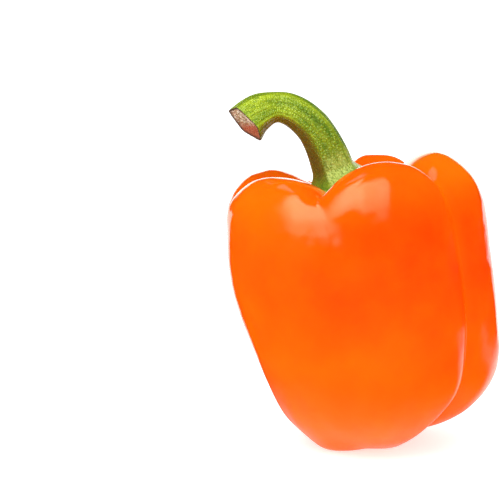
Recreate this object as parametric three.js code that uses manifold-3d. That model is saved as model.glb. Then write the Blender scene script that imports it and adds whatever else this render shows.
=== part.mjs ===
// A bell pepper standing on its blossom end: one lobed orange fruit and,
// pressed into its crown, one green calyx that runs up into a thick bent stem.
// Millimetres, +Z up. The viewer stands on the -Y side, and the stem bends to -X.
// The fruit is described upright round its own axis. It is then leaned,
// set down on its feet and moved so that the whole pepper is centred on the origin.
import * as THREE from 'three';
import { mergeVertices } from 'three/addons/utils/BufferGeometryUtils.js';
import Module from 'manifold-3d';

// How the fruit stands
const LEAN_DEG = 8;
const FOOT_CUT = 0.25;
const ORIGIN_X = -6.38;
const ORIGIN_Y = -1.09;

// Heights of the two ends of the fruit's axis: the blossom scar and the calyx seat
const SCAR_Z = 6.5;
const SEAT_Z = 77;

// The five lobes, counter-clockwise seen from above.
// R is a distance from the axis and Z or Up a height, at named places up the lobe.
const LOBES = [
  {
    name: 'back left', footR: 17, lift: 0, heelR: 25.4, heelUp: 5, lowR: 32, midR: 37.4,
    highR: 40.8, sideR: 40, shoulderDown: 5, crownR: 32, crownZ: 86.7,
  },
  {
    name: 'front left', footR: 19, lift: 0, heelR: 25.5, heelUp: 5, lowR: 32.1, midR: 38,
    highR: 42.1, sideR: 41.9, shoulderDown: 4.8, crownR: 30.8, crownZ: 89.6,
  },
  {
    name: 'front right', footR: 8.5, lift: 0, heelR: 21.4, heelUp: 5.5, lowR: 34.3, midR: 39.5,
    highR: 40.5, sideR: 39.5, shoulderDown: 4.8, crownR: 28, crownZ: 90.7,
  },
  {
    name: 'right', footR: 15, lift: 5.5, heelR: 28.2, heelUp: 4.5, lowR: 38.1, midR: 40.4,
    highR: 40.4, sideR: 40.3, shoulderDown: 6, crownR: 28, crownZ: 87.5,
  },
  {
    name: 'back', footR: 17, lift: 0, heelR: 26, heelUp: 5, lowR: 33, midR: 38,
    highR: 39, sideR: 37.5, shoulderDown: 6, crownR: 27.5, crownZ: 86.1,
  },
];

// The groove before each lobe: its azimuth, its depth at five heights,
// and how softly its crease is rounded at the crown and at the foot
const GROOVES = [
  { deg: 101, foot: 6, low: 3, mid: 2.5, side: 4.8, crown: 12, softFoot: 0.04, softCrown: 0.4 },
  { deg: 184, foot: 6, low: 4, mid: 3, side: 4, crown: 8, softFoot: 0.04, softCrown: 0.06 },
  { deg: 252, foot: 0.8, low: 0, mid: 0, side: 2.6, crown: 7, softFoot: 0.3, softCrown: 0.08 },
  { deg: 324.5, foot: 6, low: 5, mid: 4, side: 5, crown: 8, softFoot: 0.03, softCrown: 0.12 },
  { deg: 405.5, foot: 6, low: 3, mid: 2.5, side: 4, crown: 4, softFoot: 0.04, softCrown: 0.1 },
];
const GROOVE_ROUNDNESS = 0.96;
const TWIST_DEG = -6;

// The front valley swings to the right just below the crown
const FRONT_GROOVE = 2;
const FRONT_SWAY_DEG = 6;
const FRONT_SWAY_REACH = 28;

// The calyx: a thin cap with five blunt teeth, pressed on to the skin
const CALYX_GAP = 0.35;
const CALYX_THICK = 1.1;
const CALYX_R = 12.8;
const TOOTH = 2.2;
const TOOTH_SOFT = 0.25;

// The flare sweeps from the calyx's edge into the stem: how far in and how high it is
// drawn over the calyx, and how far below the stem's first ring it turns upward
const FLARE_IN = 0.76;
const FLARE_LIFT = 3.8;
const FLARE_DROP = 2.2;

// The stem: rings from the flare to the cut end.
// turn is how far a ring has swung over to the left, yaw how far it turns to the viewer.
const STEM_RINGS = [
  { at: [-15.9, 0, 86.6], radius: 6.6, turn: 17, yaw: 0 },
  { at: [-17.6, -0.2, 91], radius: 6.2, turn: 21, yaw: 0 },
  { at: [-19.7, -0.4, 95.2], radius: 5.8, turn: 28, yaw: 0 },
  { at: [-22.2, -0.7, 98.8], radius: 5.5, turn: 41, yaw: 0 },
  { at: [-25.9, -1, 102.1], radius: 5.2, turn: 55, yaw: 1 },
  { at: [-29.9, -1.4, 104.2], radius: 4.9, turn: 73, yaw: 3 },
  { at: [-33.9, -1.9, 104.7], radius: 4.8, turn: 95, yaw: 7 },
  { at: [-37.8, -2.6, 103.5], radius: 5.9, turn: 105, yaw: 12 },
  { at: [-40.4, -3.3, 101.9], radius: 6.4, turn: 118, yaw: 17 },
  { at: [-42.8, -4.2, 99.9], radius: 6.7, turn: 133, yaw: 23 },
];
const RIB_DEG = 248;
const RIB_SHARE = 0.13;
const RIB_SOFT = 0.24;
const STEM_DEPTH_SHARE = 0.94;
const CUT_HOLLOW = 0.8;

// Fineness of the two skins
const COLUMNS_PER_LOBE = 16;
const FRUIT_ROWS = 48;
const STEM_COLUMNS = 60;
const STEM_ROWS = { under: 4, edge: 3, flare: 6, perRing: 3 };

const rad = THREE.MathUtils.degToRad;
const lobeCount = LOBES.length;

function smooth(t) {
  const u = THREE.MathUtils.clamp(t, 0, 1);
  return u * u * (3 - 2 * u);
}

function mix(a, b, t) {
  return a + (b - a) * t;
}

// A curve through points at even steps. flip mirrors the points past each end,
// which lets a meridian cross the axis level; without it the ends run out straight.
function curveThrough(points, u, flip) {
  const last = points.length - 1;
  const k = Math.min(Math.floor(u * last), last - 1);
  const f = u * last - k;
  const past = (end, inner) => end.map((v, i) => (flip ? flip[i] * inner[i] : 2 * v - inner[i]));
  const at = (n) => {
    if (n < 0) return past(points[0], points[1]);
    if (n > last) return past(points[last], points[last - 1]);
    return points[n];
  };
  const [a, b, c, d] = [at(k - 1), at(k), at(k + 1), at(k + 2)];
  return b.map((_, i) => 0.5 * (
    2 * b[i]
    + (c[i] - a[i]) * f
    + (2 * a[i] - 5 * b[i] + 4 * c[i] - d[i]) * f ** 2
    + (3 * b[i] - a[i] - 3 * c[i] + d[i]) * f ** 3
  ));
}

// Azimuth of groove n, counting on round the fruit
function grooveDeg(n) {
  const turns = Math.floor(n / lobeCount);
  return GROOVES[n - turns * lobeCount].deg + 360 * turns;
}

function lobeMiddle(n) {
  return (grooveDeg(n) + grooveDeg(n + 1)) / 2;
}

function lobeHalfWidth(n) {
  return (grooveDeg(n + 1) - grooveDeg(n)) / 2;
}

// The meridian down the middle of a lobe, from the blossom scar out over the foot,
// up the side, over the crown and down into the seat of the calyx, as [rho, z].
// The lean would lift one side's feet off the floor, so the foot height allows for it.
function lobeMeridian(lobe, n) {
  const across = Math.cos(rad(lobeMiddle(n) + TWIST_DEG));
  const footZ = lobe.lift - Math.tan(rad(LEAN_DEG)) * lobe.footR * across;
  return [
    [0, SCAR_Z],
    [0.5 * lobe.footR, footZ + 1 + 0.14 * lobe.footR],
    [lobe.footR, footZ],
    [lobe.heelR, footZ + lobe.heelUp],
    [lobe.lowR, 17 + 0.4 * lobe.lift],
    [lobe.midR, 36],
    [lobe.highR, 56],
    [lobe.sideR, 72],
    [
      0.55 * lobe.sideR + 0.45 * lobe.crownR + lobe.shoulderDown / 3,
      lobe.crownZ - lobe.shoulderDown,
    ],
    [lobe.crownR, lobe.crownZ],
    [0.62 * lobe.crownR, lobe.crownZ - 3.6],
    [0.32 * lobe.crownR, SEAT_Z + 1],
    [0, SEAT_Z],
  ];
}

const MERIDIANS = LOBES.map(lobeMeridian);

// Groove depth up the meridian: named depths joined by smooth steps, none at the poles
function grooveDepth(groove, s) {
  const stations = [
    [0, 0], [2, groove.foot], [4, groove.low], [5.5, groove.mid],
    [7.4, groove.side], [9, groove.crown], [12, 0],
  ];
  const at = s * 12;
  const k = Math.max(1, stations.findIndex(([where]) => at <= where));
  const [from, depthFrom] = stations[k - 1];
  const [to, depthTo] = stations[k];
  return mix(depthFrom, depthTo, smooth((at - from) / (to - from)));
}

// Across a lobe the groove's cut is a rounded back that drops steeply at the crease
function grooveShape(x, soft) {
  const y = 1 - Math.abs(x);
  const near = (Math.hypot(y, soft) - soft) / (Math.hypot(1, soft) - soft);
  const out = (1 - near) ** 2;
  return (1 - Math.sqrt(1 - GROOVE_ROUNDNESS * out)) / (1 - Math.sqrt(1 - GROOVE_ROUNDNESS));
}

// Which lobe an azimuth lies in, and where across it from -1 to 1
function placeAcross(deg) {
  const start = grooveDeg(0);
  const turned = start + THREE.MathUtils.euclideanModulo(deg - start, 360);
  let n = lobeCount - 1;
  while (turned < grooveDeg(n)) {
    n -= 1;
  }
  return { n, x: (turned - lobeMiddle(n)) / lobeHalfWidth(n) };
}

// The skin at one azimuth, s = 0 at the scar to 1 at the seat, as [rho, z]:
// neighbouring lobes' meridians mixed, then pushed in along their normal by the groove
function skinAt(deg, s) {
  const { n, x } = placeAcross(deg);
  const other = (n + (x < 0 ? lobeCount - 1 : 1)) % lobeCount;
  const share = smooth((Math.abs(x) * lobeHalfWidth(n)) / (lobeHalfWidth(n) + lobeHalfWidth(other)));
  const plain = (t) => {
    const own = curveThrough(MERIDIANS[n], t, [-1, 1]);
    const next = curveThrough(MERIDIANS[other], t, [-1, 1]);
    return new THREE.Vector2(mix(own[0], next[0], share), mix(own[1], next[1], share));
  };
  const groove = GROOVES[x < 0 ? n : (n + 1) % lobeCount];
  const soft = mix(groove.softFoot, groove.softCrown, smooth((s - 0.25) / 0.5));
  const depth = grooveDepth(groove, s) * grooveShape(x, soft);
  const along = plain(Math.min(s + 0.002, 1)).sub(plain(Math.max(s - 0.002, 0))).normalize();
  const point = plain(s);
  return [Math.max(0, point.x - along.y * depth), point.y + along.x * depth];
}

// Round the axis, with the slow twist of the lower half and the front valley's sway
function standUp(deg, [rho, z], s) {
  const beside = THREE.MathUtils.euclideanModulo(deg - grooveDeg(FRONT_GROOVE) + 180, 360) - 180;
  const front = Math.exp(-((beside / FRONT_SWAY_REACH) ** 2));
  const sway = FRONT_SWAY_DEG * front * smooth((s - 0.35) / 0.2) * smooth((0.75 - s) / 0.12);
  const a = rad(deg + sway + TWIST_DEG * (1 - smooth(s / 0.5)));
  return new THREE.Vector3(rho * Math.cos(a), rho * Math.sin(a), z);
}

const LEAN = new THREE.Matrix4().makeRotationY(-rad(LEAN_DEG));

function leaned(point) {
  return point.applyMatrix4(LEAN);
}

// A closed skin through rings of equal length, with a pole at each end
function closedSkin(firstPole, rings, lastPole) {
  const columns = rings[0].length;
  const points = [firstPole, ...rings.flat(), lastPole];
  const id = (row, column) => 1 + row * columns + (column % columns);
  const top = points.length - 1;
  const index = [];
  for (let c = 0; c < columns; c += 1) {
    index.push(0, id(0, c + 1), id(0, c));
    for (let r = 0; r < rings.length - 1; r += 1) {
      index.push(id(r, c), id(r, c + 1), id(r + 1, c + 1));
      index.push(id(r, c), id(r + 1, c + 1), id(r + 1, c));
    }
    index.push(top, id(rings.length - 1, c), id(rings.length - 1, c + 1));
  }
  const geometry = new THREE.BufferGeometry().setFromPoints(points);
  geometry.setIndex(index);
  return geometry.translate(-ORIGIN_X, -ORIGIN_Y, -FOOT_CUT);
}

// The whole fruit. Columns stand closer together beside the grooves.
function fruitSkin() {
  const degs = [];
  for (let n = 0; n < lobeCount; n += 1) {
    for (let c = 0; c < COLUMNS_PER_LOBE; c += 1) {
      const across = Math.sin((Math.PI / 2) * ((2 * c) / COLUMNS_PER_LOBE - 1));
      degs.push(lobeMiddle(n) + lobeHalfWidth(n) * across);
    }
  }
  const rings = [];
  for (let r = 1; r < FRUIT_ROWS; r += 1) {
    const s = r / FRUIT_ROWS;
    rings.push(degs.map((deg) => leaned(standUp(deg, skinAt(deg, s), s))));
  }
  const scar = leaned(new THREE.Vector3(0, 0, SCAR_Z));
  const seat = leaned(new THREE.Vector3(0, 0, SEAT_Z));
  return closedSkin(scar, rings, seat);
}

// Height of the skin inside the crown, lifted along its normal by the calyx gap.
// Read from the curve of one azimuth, between its rim and the axis.
function crownFloor(deg) {
  const steps = 80;
  const line = [];
  for (let k = 0; k <= steps; k += 1) {
    line.push(new THREE.Vector2(...skinAt(deg, 0.72 + (0.28 * k) / steps)));
  }
  const lifted = line.map((point, k) => {
    const before = line[Math.max(k - 1, 0)];
    const after = line[Math.min(k + 1, steps)];
    const along = after.clone().sub(before).normalize();
    return new THREE.Vector2(point.x + along.y * CALYX_GAP, point.y - along.x * CALYX_GAP);
  });
  lifted[steps].x = 0;
  return (rho) => {
    let k = steps;
    while (k > 1 && lifted[k - 1].x < rho) {
      k -= 1;
    }
    const [a, b] = [lifted[k], lifted[k - 1]];
    return mix(a.y, b.y, THREE.MathUtils.clamp((rho - a.x) / (b.x - a.x), 0, 1));
  };
}

// Five ridges round the stem, 1 on a ridge and 0 between two
function ridge(deg, soft) {
  const half = Math.sin(rad(2.5 * (deg - RIB_DEG)));
  const full = Math.hypot(1, soft);
  return (full - Math.hypot(half, soft)) / (full - soft);
}

// One ring of the stem as [x, y, z, radius, turn, yaw] -> its points and its axis
function stemRing([x, y, z, radius, turn, yaw], degs) {
  const up = new THREE.Vector3(-Math.sin(rad(turn)), 0, Math.cos(rad(turn)));
  const side = new THREE.Vector3(Math.cos(rad(turn)), 0, Math.sin(rad(turn)));
  const axis = up.clone().multiplyScalar(Math.cos(rad(yaw)));
  axis.y = -Math.sin(rad(yaw));
  const deep = up.clone().multiplyScalar(Math.sin(rad(yaw)));
  deep.y = Math.cos(rad(yaw));
  const points = degs.map((deg) => {
    const r = radius * (0.9 + RIB_SHARE * ridge(deg, RIB_SOFT));
    return new THREE.Vector3(x, y, z)
      .addScaledVector(side, r * Math.cos(rad(deg)))
      .addScaledVector(deep, STEM_DEPTH_SHARE * r * Math.sin(rad(deg)));
  });
  return { points, axis };
}

// Calyx and stem grew as one piece: its skin starts under the calyx, turns round
// the toothed edge, sweeps up into the stem and closes over the cut end
function stemSkin() {
  const degs = Array.from({ length: STEM_COLUMNS }, (_, c) => (360 * c) / STEM_COLUMNS);
  const floors = degs.map(crownFloor);
  const rims = degs.map((deg) => CALYX_R + TOOTH * ridge(deg, TOOTH_SOFT));
  const onCalyx = (c, rho, lift) => leaned(standUp(degs[c], [rho, floors[c](rho) + lift], 1));
  const rings = [];

  for (let k = 1; k <= STEM_ROWS.under; k += 1) {
    rings.push(degs.map((_, c) => onCalyx(c, (rims[c] * k) / STEM_ROWS.under, 0)));
  }

  for (let k = 1; k <= STEM_ROWS.edge; k += 1) {
    const t = (Math.PI * k) / STEM_ROWS.edge;
    const lift = (CALYX_THICK * (1 - Math.cos(t))) / 2;
    const bulge = 0.45 * CALYX_THICK * Math.sin(t);
    rings.push(degs.map((deg, c) => {
      const height = floors[c](rims[c]) + lift;
      return leaned(standUp(deg, [rims[c] + bulge, height], 1));
    }));
  }

  const stations = STEM_RINGS.map((ring) => [...ring.at, ring.radius, ring.turn, ring.yaw]);
  const base = stemRing(stations[0], degs);
  const edge = rings[rings.length - 1];
  const sweeps = degs.map((_, c) => new THREE.CubicBezierCurve3(
    edge[c],
    onCalyx(c, FLARE_IN * rims[c], FLARE_LIFT),
    base.points[c].clone().addScaledVector(base.axis, -FLARE_DROP),
    base.points[c],
  ));
  for (let k = 1; k <= STEM_ROWS.flare; k += 1) {
    rings.push(sweeps.map((sweep) => sweep.getPoint(k / STEM_ROWS.flare)));
  }

  const steps = STEM_ROWS.perRing * (stations.length - 1);
  let end = base;
  for (let k = 1; k <= steps; k += 1) {
    end = stemRing(curveThrough(stations, k / steps), degs);
    rings.push(end.points);
  }

  const hub = new THREE.Vector3(...STEM_RINGS[STEM_RINGS.length - 1].at);
  for (const [inward, sunk] of [[0.12, 0.35], [0.5, 0.9]]) {
    rings.push(end.points.map((point) => point.clone()
      .lerp(hub, inward)
      .addScaledVector(end.axis, -CUT_HOLLOW * sunk)));
  }
  const pith = hub.clone().addScaledVector(end.axis, -CUT_HOLLOW);
  return closedSkin(onCalyx(0, 0, 0), rings, pith);
}

const wasm = await Module();
wasm.setup();

function toSolid(geometry) {
  return new wasm.Manifold(new wasm.Mesh({
    numProp: 3,
    vertProperties: new Float32Array(geometry.getAttribute('position').array),
    triVerts: new Uint32Array(geometry.getIndex().array),
  }));
}

function toGeometry(solid) {
  const mesh = solid.getMesh();
  const geometry = new THREE.BufferGeometry();
  geometry.setAttribute('position', new THREE.BufferAttribute(mesh.vertProperties, 3));
  geometry.setIndex(new THREE.BufferAttribute(mesh.triVerts, 1));
  geometry.computeVertexNormals();
  return geometry;
}

// The fruit with its feet pressed flat where they meet the floor
function fruitGeometry() {
  const below = new THREE.BoxGeometry(200, 200, 20).translate(0, 0, -10);
  below.deleteAttribute('normal');
  below.deleteAttribute('uv');
  return toGeometry(toSolid(fruitSkin()).subtract(toSolid(mergeVertices(below))));
}

function stemGeometry() {
  const geometry = stemSkin();
  geometry.computeVertexNormals();
  return geometry;
}

const skinMaterial = new THREE.MeshStandardMaterial({ color: 0xfb5a05, roughness: 0.2, metalness: 0 });
const stemMaterial = new THREE.MeshStandardMaterial({ color: 0x7f9a2a, roughness: 0.5, metalness: 0 });

const fruit = new THREE.Mesh(fruitGeometry(), skinMaterial);
fruit.name = 'fruit';

const stemAndCalyx = new THREE.Mesh(stemGeometry(), stemMaterial);
stemAndCalyx.name = 'stem_and_calyx';

const pepper = new THREE.Group();
pepper.add(fruit, stemAndCalyx);

export default pepper;
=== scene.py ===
# %% [markdown]
# # A ripe bell pepper, worked out as two skins
#
# The pepper stands on its blossom end. It has two parts: the orange fruit, whose five lobes
# meet in grooves, and the green calyx and stem, which grew as one piece and are pressed into
# the fruit's crown. Nothing on it moves, so both parts ride on the one body of the packed
# model. Each is a closed surface worked out with numpy from a handful of sizes, because a
# fruit is round in two directions at once and no box or cylinder can be bent into it cleanly.

import bpy
import numpy as np
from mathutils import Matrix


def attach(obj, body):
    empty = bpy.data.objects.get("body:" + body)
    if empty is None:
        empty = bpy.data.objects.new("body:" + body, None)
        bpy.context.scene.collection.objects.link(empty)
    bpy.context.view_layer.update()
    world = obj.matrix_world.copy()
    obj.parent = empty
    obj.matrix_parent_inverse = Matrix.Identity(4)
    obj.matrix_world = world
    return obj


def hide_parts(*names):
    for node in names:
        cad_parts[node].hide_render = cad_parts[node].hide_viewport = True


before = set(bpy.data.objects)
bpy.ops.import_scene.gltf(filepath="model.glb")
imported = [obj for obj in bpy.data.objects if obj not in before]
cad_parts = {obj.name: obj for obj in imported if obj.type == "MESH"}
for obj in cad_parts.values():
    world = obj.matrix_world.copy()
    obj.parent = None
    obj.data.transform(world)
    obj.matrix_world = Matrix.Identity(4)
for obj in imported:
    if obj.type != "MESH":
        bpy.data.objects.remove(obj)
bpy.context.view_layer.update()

MM = 0.001

# %% [markdown]
# ## The camera comes first
#
# A long lens from some way off shows the pepper almost without perspective. The camera looks
# slightly down, so the crowns of the two back lobes show over the front ones. Its place is
# worked out from four plain facts: how high it looks from, how far off it is, how many
# millimetres one pixel covers at the pepper, and which pixel the middle of the pepper falls on.

# %% Place the camera
ELEVATION = np.radians(10)
DISTANCE = 700
MM_PER_PIXEL = 0.3075
FRAME_PIXELS = 500
SENSOR_MM = 36
MIDDLE = np.array([-0.52, 0.09, 44.75])
MIDDLE_PIXEL = (362, 300)

ahead = np.array([0, np.cos(ELEVATION), -np.sin(ELEVATION)])
to_right = np.array([1.0, 0, 0])
upward = np.array([0, np.sin(ELEVATION), np.cos(ELEVATION)])
aim = (MIDDLE
       - (MIDDLE_PIXEL[0] - FRAME_PIXELS / 2) * MM_PER_PIXEL * to_right
       + (MIDDLE_PIXEL[1] - FRAME_PIXELS / 2) * MM_PER_PIXEL * upward)

camera_data = bpy.data.cameras.new("camera")
camera_data.sensor_width = SENSOR_MM
camera_data.lens = SENSOR_MM * DISTANCE / (MM_PER_PIXEL * FRAME_PIXELS)
camera = bpy.data.objects.new("camera", camera_data)
camera.location = (aim - DISTANCE * ahead) * MM
camera.rotation_euler = (np.pi / 2 - ELEVATION, 0, 0)
bpy.context.scene.collection.objects.link(camera)
bpy.context.scene.camera = camera
print("lens", round(camera_data.lens, 1), "mm, camera at", [round(v, 3) for v in camera.location])

# %% [markdown]
# ## Sizes of the fruit
#
# Each lobe is described by one line: where its foot, heel, low side, middle, high side and
# crown lie, as distances from the fruit's axis and heights. Each groove has an azimuth and a
# depth at five heights. These few numbers carry the pepper's whole character: the tall front
# right lobe, the right lobe whose foot hangs clear of the table, and the soft valley in front.
# All of the pepper's lengths are in millimetres until a mesh is made.

# %% Lobes and grooves
LEAN = np.radians(8)
FOOT_CUT = 0.25
ORIGIN = np.array([-6.38, -1.09, FOOT_CUT])
SCAR_Z = 6.5
SEAT_Z = 77.0
TWIST = np.radians(-6)

#                     back left  front left  front right  right  back
FOOT_R = np.array([17.0, 19.0, 8.5, 15.0, 17.0])
FOOT_LIFT = np.array([0.0, 0.0, 0.0, 5.5, 0.0])
HEEL_R = np.array([25.4, 25.5, 21.4, 28.2, 26.0])
HEEL_UP = np.array([5.0, 5.0, 5.5, 4.5, 5.0])
LOW_R = np.array([32.0, 32.1, 34.3, 38.1, 33.0])
MID_R = np.array([37.4, 38.0, 39.5, 40.4, 38.0])
HIGH_R = np.array([40.8, 42.1, 40.4, 40.4, 39.0])
SIDE_R = np.array([40.0, 41.9, 39.6, 40.3, 37.5])
CROWN_R = np.array([32.0, 30.8, 28.0, 28.0, 27.5])
CROWN_Z = np.array([86.7, 89.6, 90.7, 87.5, 86.1])
SHOULDER_DOWN = np.array([5.0, 5.5, 4.7, 6.0, 6.0])
LOW_Z, MID_Z, HIGH_Z, SIDE_Z = 17, 36, 56, 72
BEHIND_CROWN_DOWN = 3.6

# groove n lies before lobe n; depths at the foot, low, middle, high side and crown
GROOVE_DEG = np.array([101.0, 184.0, 252.6, 324.5, 405.5])
GROOVE_DEPTH = np.array([
    [6.0, 3.0, 2.5, 4.8, 12.0],
    [6.0, 4.0, 3.0, 4.0, 8.0],
    [0.8, 0.0, 0.2, 2.5, 7.3],
    [6.0, 5.0, 4.0, 5.0, 8.0],
    [6.0, 3.0, 2.5, 4.0, 4.0],
])
SOFT_FOOT = np.array([0.04, 0.04, 0.5, 0.03, 0.04])
SOFT_CROWN = np.array([0.4, 0.06, 0.08, 0.12, 0.1])
SHARP_BELOW = 0.3
GROOVE_ROUNDNESS = 0.96
FRONT_SWAY_DEG = 5.5
FRONT_SWAY_REACH_DEG = 38

LOBE_MIDDLE = (GROOVE_DEG + np.append(GROOVE_DEG[1:], GROOVE_DEG[0] + 360)) / 2
LOBE_HALF = (np.append(GROOVE_DEG[1:], GROOVE_DEG[0] + 360) - GROOVE_DEG) / 2
print("lobe middles at azimuths", LOBE_MIDDLE.round(1), "half widths", LOBE_HALF.round(1))

# %% [markdown]
# ## A meridian for each lobe
#
# A meridian is the line that a knife would follow down the middle of a lobe: from the scar
# under the pepper, out over the foot, up the side, over the crown and down to the seat of the
# calyx. Thirteen points and a smooth curve through them are enough. The curve is mirrored past
# the axis at both ends, so that it crosses the axis level and no pimple stands at a pole.

# %% Curves through a few points
def smooth(t):
    """Rises from 0 to 1 with level ends: three times t squared less twice t cubed."""
    t = np.clip(t, 0, 1)
    return t * t * (3 - 2 * t)


def curve_through(points, u, past=None):
    """Smooth curve through evenly spaced points, at parameters u from 0 to 1.

    Between two points it is the cubic whose slope at each point is half the step from the
    point before it to the point after it. past says how the inner neighbour is mirrored
    beyond an end; without it the curve runs out straight.
    """
    first, last = points[..., :1, :], points[..., -1:, :]
    before, after = points[..., 1:2, :], points[..., -2:-1, :]
    if past is None:
        before, after = 2 * first - before, 2 * last - after
    else:
        before, after = before * past, after * past
    padded = np.concatenate([before, points, after], axis=-2)
    spans = points.shape[-2] - 1
    k = np.minimum((u * spans).astype(int), spans - 1)
    f = (u * spans - k)[:, None]
    a, b, c, d = (padded[..., k + step, :] for step in range(4))
    return 0.5 * (2 * b + (c - a) * f + (2 * a - 5 * b + 4 * c - d) * f ** 2
                  + (3 * b - a - 3 * c + d) * f ** 3)


def lobe_meridians():
    """The thirteen points of each lobe's meridian, as lobes x points x (radius, height)."""
    nought = np.zeros(5)
    foot_z = FOOT_LIFT - np.tan(LEAN) * FOOT_R * np.cos(np.radians(LOBE_MIDDLE) + TWIST)
    points = [
        (nought, nought + SCAR_Z),
        (0.5 * FOOT_R, foot_z + 1 + 0.14 * FOOT_R),
        (FOOT_R, foot_z),
        (HEEL_R, foot_z + HEEL_UP),
        (LOW_R, LOW_Z + 0.4 * FOOT_LIFT),
        (MID_R, nought + MID_Z),
        (HIGH_R, nought + HIGH_Z),
        (SIDE_R, nought + SIDE_Z),
        (0.55 * SIDE_R + 0.45 * CROWN_R + SHOULDER_DOWN / 3, CROWN_Z - SHOULDER_DOWN),
        (CROWN_R, CROWN_Z),
        (0.62 * CROWN_R, CROWN_Z - BEHIND_CROWN_DOWN),
        (0.32 * CROWN_R, nought + SEAT_Z + 1),
        (nought, nought + SEAT_Z),
    ]
    return np.array(points).transpose(2, 0, 1)


MERIDIANS = lobe_meridians()
print("meridian points:", MERIDIANS.shape, "tallest crown", MERIDIANS[..., 1].max(), "mm")

# %% [markdown]
# ## Round the fruit: mix the lobes and press in the grooves
#
# Between two lobe middles the two meridians are mixed smoothly, which alone would give a
# barrel. The grooves are then pressed in along the barrel's own normal: hardly at all over
# the back of a lobe, and steeply beside the crease. That is how the fruit grows too, since its
# walls are held in along the seams. A rounding lets one groove be a soft valley at the crown
# and a tight crease at the foot. A few slow waves keep the skin from looking turned on a lathe.

# %% Groove depth and skin
def groove_depth(groove, s):
    """Depth of each column's groove at heights s: named depths joined by smooth steps."""
    where = np.array([0, 2, 4, 5.5, 7.4, 9, 12]) / 12
    depth = np.pad(GROOVE_DEPTH, ((0, 0), (1, 1)))[groove]
    k = np.clip(np.searchsorted(where, s) - 1, 0, len(where) - 2)
    t = smooth((s - where[k]) / (where[k + 1] - where[k]))
    return depth[:, k] * (1 - t) + depth[:, k + 1] * t


def groove_shape(x, soft):
    """How much of the depth is cut at x across a lobe: one less a circle's height, steep at
    the crease, with the distance to the crease rounded off by soft."""
    near = (np.hypot(1 - np.abs(x), soft) - soft) / (np.hypot(1, soft) - soft)
    out = (1 - near) ** 2
    return (1 - np.sqrt(1 - GROOVE_ROUNDNESS * out)) / (1 - np.sqrt(1 - GROOVE_ROUNDNESS))


def slow_waves(deg, s):
    """Height of the skin's gentle unevenness: a few waves round and up the fruit, in mm,
    fading out at the floor and inside the crown."""
    a = np.radians(deg)[:, None]
    wave = (0.16 * np.sin(5 * a + 9 * s + 1.0) * np.sin(7 * s + 0.4)
            + 0.11 * np.sin(9 * a - 16 * s + 2.1)
            + 0.09 * np.sin(14 * a + 21 * s + 4.0)
            + 0.06 * np.sin(23 * a - 31 * s + 0.7))
    return wave * smooth((s - 0.2) / 0.12) * smooth((0.8 - s) / 0.1)


def skin_lines(deg, s, waves=0.0):
    """The skin's (radius, height) at azimuths deg and meridian parameters s, with each
    column's place x across its lobe, from -1 to 1, and its nearest groove."""
    turned = (deg - GROOVE_DEG[0]) % 360 + GROOVE_DEG[0]
    lobe = np.searchsorted(GROOVE_DEG, turned + 1e-9, side="right") - 1
    x = np.clip((turned - LOBE_MIDDLE[lobe]) / LOBE_HALF[lobe], -1, 1)
    other = np.where(x < 0, lobe - 1, lobe + 1) % 5
    share = smooth(np.abs(x) * LOBE_HALF[lobe] / (LOBE_HALF[lobe] + LOBE_HALF[other]))
    share = share[:, None, None]
    lobes = curve_through(MERIDIANS, s, past=np.array([-1.0, 1.0]))
    line = lobes[lobe] * (1 - share) + lobes[other] * share

    groove = np.where(x < 0, lobe, (lobe + 1) % 5)
    rise = smooth((s - 0.25) / 0.5)
    soft = SOFT_FOOT[groove, None] * (1 - rise) + SOFT_CROWN[groove, None] * rise
    pressed = groove_depth(groove, s) * groove_shape(x[:, None], soft)
    pressed = pressed - waves * slow_waves(deg, s)

    along = np.gradient(line, axis=1)
    along /= np.linalg.norm(along, axis=2, keepdims=True) + 1e-9
    line[..., 0] = np.maximum(line[..., 0] - along[..., 1] * pressed, 0)
    line[..., 1] = line[..., 1] + along[..., 0] * pressed
    return line, x, groove


def stand(line, deg, s):
    """Swing each line round the axis with the lower half's slow twist and the front valley's
    sway to the right below the crown, lean the fruit to the left and set it down on the
    origin. Returns columns x rows x (x, y, z)."""
    from_valley = (deg - GROOVE_DEG[2] + 180) % 360 - 180
    front = np.exp(-(from_valley / FRONT_SWAY_REACH_DEG) ** 2)[:, None]
    sway = FRONT_SWAY_DEG * smooth((s - 0.35) / 0.2) * smooth((0.69 - s) / 0.12)
    a = np.radians(deg[:, None] + front * sway) + TWIST * (1 - smooth(s / 0.5))
    x, y, z = line[..., 0] * np.cos(a), line[..., 0] * np.sin(a), line[..., 1]
    return np.stack([x * np.cos(LEAN) - z * np.sin(LEAN), y,
                     x * np.sin(LEAN) + z * np.cos(LEAN)], axis=-1) - ORIGIN


# %% [markdown]
# ## From a grid of points to a closed mesh
#
# Both pieces are the same kind of surface: rings of points one after the other, closed by a
# single point at each end. One helper turns such a grid into a mesh, with its faces pointing
# outwards, and stores whatever we want to know at each point as an attribute. The materials
# read those attributes later, so colour can follow a groove or run along the stem.

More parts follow.
